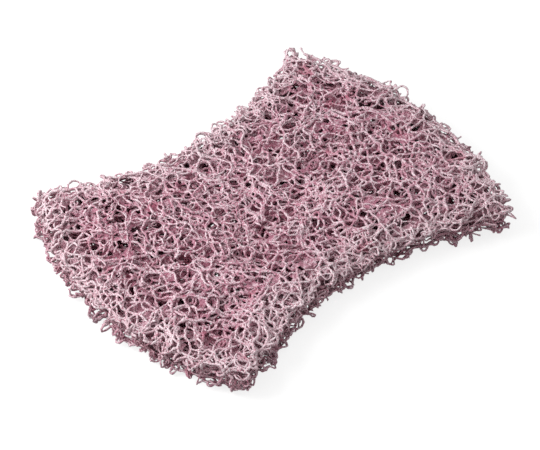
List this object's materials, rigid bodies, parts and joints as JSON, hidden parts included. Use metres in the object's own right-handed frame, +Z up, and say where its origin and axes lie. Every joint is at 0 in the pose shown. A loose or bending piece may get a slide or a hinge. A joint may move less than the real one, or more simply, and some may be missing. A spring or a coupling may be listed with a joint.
{
  "type": "scouring pad",
  "caption": "Hand-size open-web scouring pad of bonded curly fibres, waisted along both long sides, with bowed ends.",
  "frame": {"origin": "centre of the pad's underside, on the plane that it rests on", "axes": "+X along the pad's length, +Y across its width, +Z up through its thickness"},
  "size_m": [0.13, 0.0958, 0.012],
  "materials": {
    "fibre_web": "dusty pink resin-bonded fibre with pale mineral grit, matt"
  },
  "bodies": {
    "root": {"scouring_pad": "fibre_web"}
  },
  "joints": []
}
